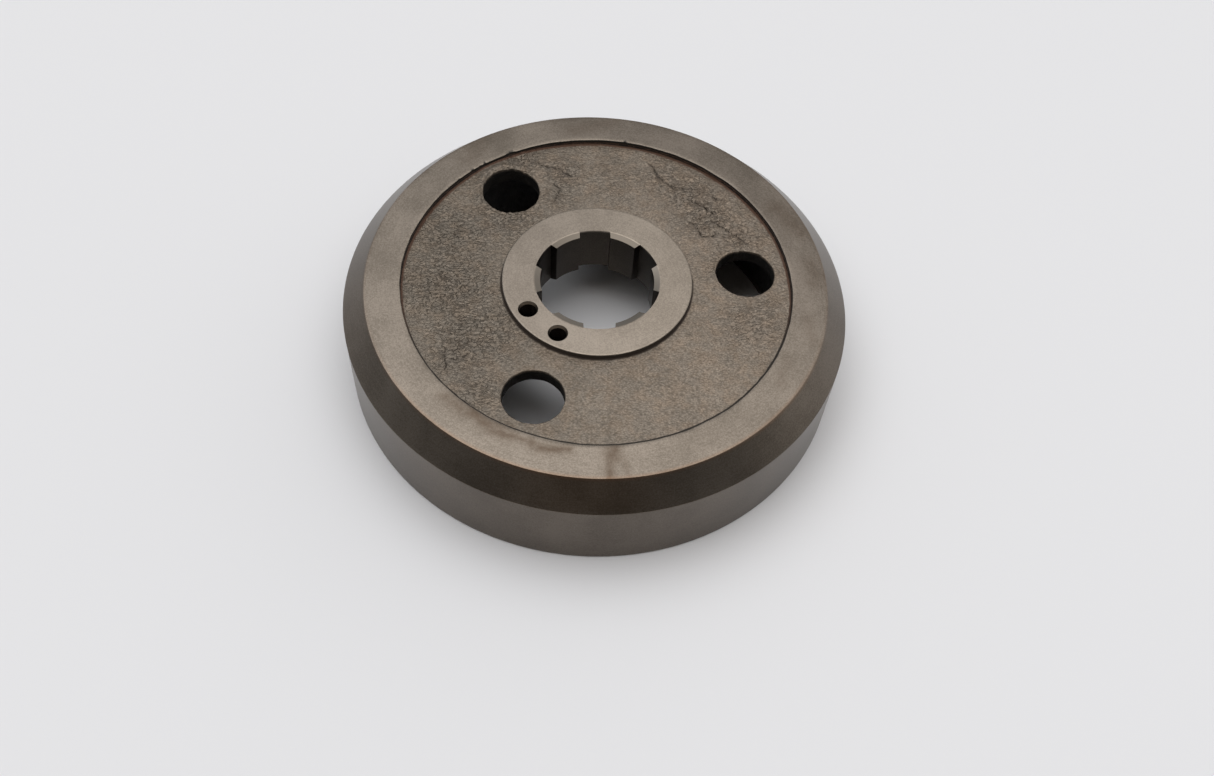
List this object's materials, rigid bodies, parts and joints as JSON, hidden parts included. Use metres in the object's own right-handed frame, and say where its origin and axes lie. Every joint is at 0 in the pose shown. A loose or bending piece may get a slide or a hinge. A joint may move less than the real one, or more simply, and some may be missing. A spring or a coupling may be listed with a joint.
{
  "type": "flywheel",
  "caption": "Heavy flywheel with a bevelled rim, a recessed cast web with round cored holes, and a splined hub with tapped holes.",
  "frame": {"origin": "on the axis of the bore, in the plane of the rim's back face, on which the wheel stands", "axes": "+Z along the axis, out of the front face with the bevel and the tapped holes; +Y through the middle of one spline slot"},
  "size_m": [0.2032, 0.2032, 0.0437],
  "materials": {
    "turned_iron": "fine-turned, bare, lightly oiled",
    "cast_skin_iron": "as cast in sand, brown-grey skin",
    "broached_iron": "fine-turned face, broached bore"
  },
  "bodies": {
    "root": {"rim": "turned_iron", "web": "cast_skin_iron", "hub": "broached_iron"}
  },
  "joints": []
}
